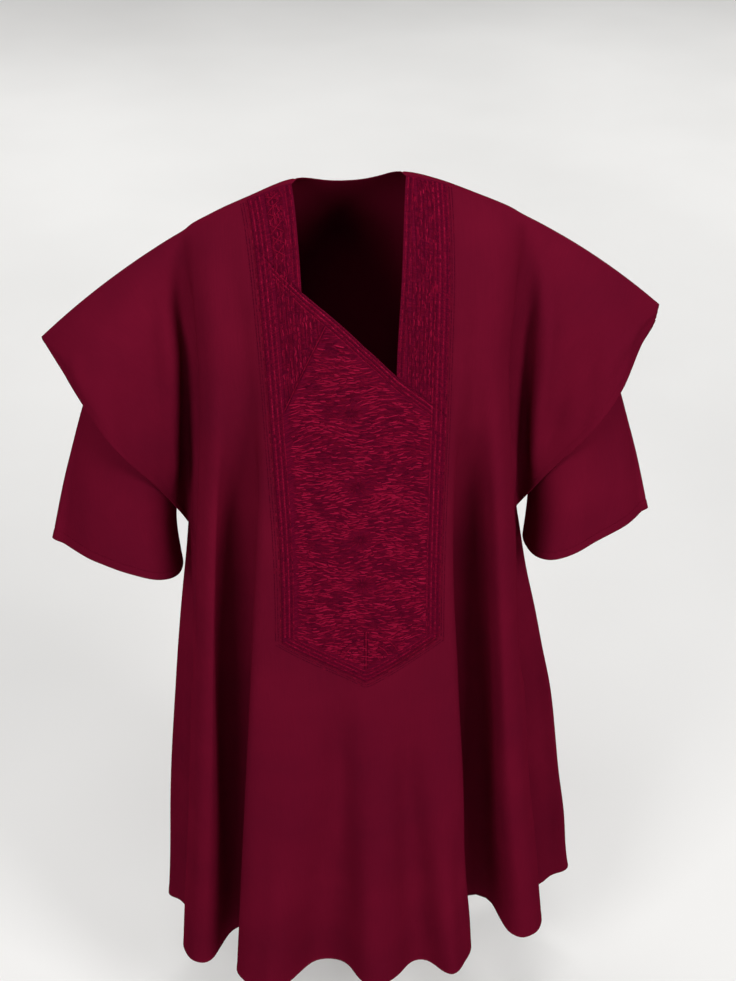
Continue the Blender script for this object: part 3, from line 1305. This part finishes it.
def rayon_thread():
    """Twisted rayon in strokes from plum to crimson."""
    material, tree, shader = new_material("rayon embroidery thread")
    place = add_node(tree, "TexCoord")
    shade = add_node(tree, "Attribute", attribute_name="shade")
    flicker = add_node(tree, "TexNoise", {"Scale": 260.0, "Detail": 1.0}, {"Vector": (place, "Object")})
    swing = add_node(tree, "MapRange", {"To Min": -0.10, "To Max": 0.10}, {"Value": (flicker, "Fac")})
    total = add_node(tree, "Math", {}, {0: (shade, "Fac"), 1: (swing, "Result")},
                     operation="ADD", use_clamp=True)
    dyes = ((0.0, "#4a061e"), (0.30, "#620821"), (0.60, "#7c0c2a"), (1.0, "#981437"))
    tone = add_node(tree, "ValToRGB", {}, {"Fac": (total, 0)}, dyes)
    at_twist = add_node(tree, "Mapping", {"Scale": [WAVE_TURN / STRAND_PITCH] * 3}, {"Vector": (place, "UV")})
    twist = add_node(tree, "TexWave", {"Scale": 1.0}, {"Vector": (at_twist, "Vector")},
                     bands_direction="DIAGONAL")
    bump = add_node(tree, "Bump", {"Strength": 0.35, "Distance": 0.0002}, {"Height": (twist, "Fac")})
    wire(shader, {"Roughness": 0.42, "Specular IOR Level": 0.0},
         {"Base Color": (tone, "Color"), "Normal": (bump, "Normal")})
    return material

# %% The ground's closed filling stitches
FILLING_LENGTH, FILLING_PITCH = 0.014, 0.0013


def filled_ground():
    """Backing cloth closed with level filling stitches of plum and dark crimson thread."""
    material, tree, shader = new_material("ground of filling stitches")
    place = add_node(tree, "TexCoord")
    at_streak = add_node(tree, "Mapping", {"Scale": (1 / FILLING_LENGTH, 1 / FILLING_PITCH, 1)},
                         {"Vector": (place, "UV")})
    streak = add_node(tree, "TexNoise", {"Scale": 1.0, "Detail": 2.0, "Roughness": 0.6},
                      {"Vector": (at_streak, "Vector")})
    dyes = ((0.35, "#4a061f"), (0.52, "#5e0823"), (0.70, "#740a29"))
    tone = add_node(tree, "ValToRGB", {}, {"Fac": (streak, "Fac")}, dyes)
    at_thread = add_node(tree, "Mapping", {"Scale": [WAVE_TURN / FILLING_PITCH] * 3},
                         {"Vector": (place, "UV")})
    rows = add_node(tree, "TexWave", {"Scale": 1.0, "Distortion": 1.2, "Detail": 1.0, "Detail Scale": 0.4},
                    {"Vector": (at_thread, "Vector")}, bands_direction="Y")
    bump = add_node(tree, "Bump", {"Strength": 0.5, "Distance": 0.0004}, {"Height": (rows, "Fac")})
    wire(shader, {"Roughness": 0.55, "Specular IOR Level": 0.0},
         {"Base Color": (tone, "Color"), "Normal": (bump, "Normal")})
    return material


suiting, thread, filling = burgundy_suiting(), rayon_thread(), filled_ground()
panels = [robe_front, robe_back, half_sleeve_left, half_sleeve_right]
grounds = [pocket_ground, band_ground_left, band_ground_right]
embroidery = [border_stitches, neck_braid, band_stitches, field_stitches, figure_stitches]
sewing = [*hem_stitches, *cuff_stitches]
for pieces, material in ((panels, suiting), (grounds, filling), (embroidery + sewing, thread)):
    for piece in pieces:
        piece.data.materials.append(material)
print("finishes:", suiting.name, "/", thread.name, "/", filling.name)

# %% [markdown]
# ## What each piece is
# Every piece rides on the one body, stands for its solid and says how big its cloth was before it was hung.

for piece in panels + grounds + embroidery + sewing:
    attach(piece, "root")
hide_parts("front_panel")
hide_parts("back_panel")
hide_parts("sleeve_left")
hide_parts("sleeve_right")
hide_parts("pocket_panel")
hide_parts("band_left")
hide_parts("band_right")

# %% [markdown]
# ## Floor, light and camera
# The robe hangs over a plain pale floor in soft studio light. The camera stands in front, well above the
# shoulders, and looks down at the chest.

# %% Floor
FLOOR_Z = -1.655
bpy.ops.object.select_all(action="DESELECT")
bpy.ops.mesh.primitive_plane_add(size=24, location=(0, 4, FLOOR_Z))
floor = bpy.context.object
floor.name = "floor"
bpy.ops.object.transform_apply(location=True, rotation=False, scale=True)
floor_material, tree, shader = new_material("pale studio floor")
place = add_node(tree, "TexCoord")
cloudy = add_node(tree, "TexNoise", {"Scale": 0.7, "Detail": 3.0}, {"Vector": (place, "Object")})
tone = add_node(tree, "ValToRGB", {}, {"Fac": (cloudy, "Fac")}, ((0.3, "#e6e5e3"), (0.7, "#efeeec")))
wire(shader, {"Roughness": 0.5}, {"Base Color": (tone, "Color")})
floor.data.materials.append(floor_material)

# %% Light
world = bpy.data.worlds.new("soft room")
bpy.context.scene.world = world
world.use_nodes = True
wire(world.node_tree.nodes["Background"], {"Color": linear("#f4f4f6"), "Strength": 0.08})
bpy.context.scene.view_settings.view_transform = "Standard"

LAMPS = (
    # name, place, aim, width, depth, watts
    ("front ceiling softbox", (-0.2, -1.4, 3.2), (0.0, -0.1, -0.5), 0.9, 0.8, 16),
    ("rear ceiling softbox", (0.0, 0.5, 3.0), (0.0, 0.1, -0.5), 0.9, 0.8, 26),
    ("left window", (-1.9, -2.3, 1.1), (0.0, -0.1, -0.6), 1.1, 1.4, 54),
    ("right window", (2.0, -2.2, 1.1), (0.0, -0.1, -0.6), 1.1, 1.4, 69),
    ("rear softbox", (0.2, 2.8, 2.6), (0.0, 1.2, -1.6), 2.4, 1.4, 40),
    ("floor wash left", (-3.2, 5.5, 2.4), (-1.0, 5.0, -1.6), 3.0, 3.0, 150),
    ("floor wash right", (3.2, 5.5, 2.4), (1.0, 5.0, -1.6), 3.0, 3.0, 150),
)
for name, place_at, aim, width, depth, watts in LAMPS:
    lamp = bpy.data.lights.new(name, "AREA")
    lamp.shape, lamp.size, lamp.size_y, lamp.energy = "RECTANGLE", width, depth, watts
    holder = bpy.data.objects.new(name, lamp)
    bpy.context.scene.collection.objects.link(holder)
    holder.location = place_at
    way = np.array(aim) - np.array(place_at)
    holder.rotation_euler = (
        math.atan2(math.hypot(way[0], way[1]), -way[2]), 0, math.atan2(way[1], way[0]) - math.pi / 2)

# %% Camera
LENS_PIXELS = 1400
FRAME_HEIGHT = 981
SENSOR = 36.0
LOOK_DOWN, LOOK_ASIDE = math.radians(34), math.radians(5)
camera_data = bpy.data.cameras.new("camera")
camera_data.sensor_width = SENSOR
camera_data.lens = LENS_PIXELS / FRAME_HEIGHT * SENSOR
camera = bpy.data.objects.new("camera", camera_data)
bpy.context.scene.collection.objects.link(camera)
camera.location = (-0.1449, -1.7942, 0.705)
camera.rotation_euler = (math.pi / 2 - LOOK_DOWN, 0, -LOOK_ASIDE)
bpy.context.scene.camera = camera
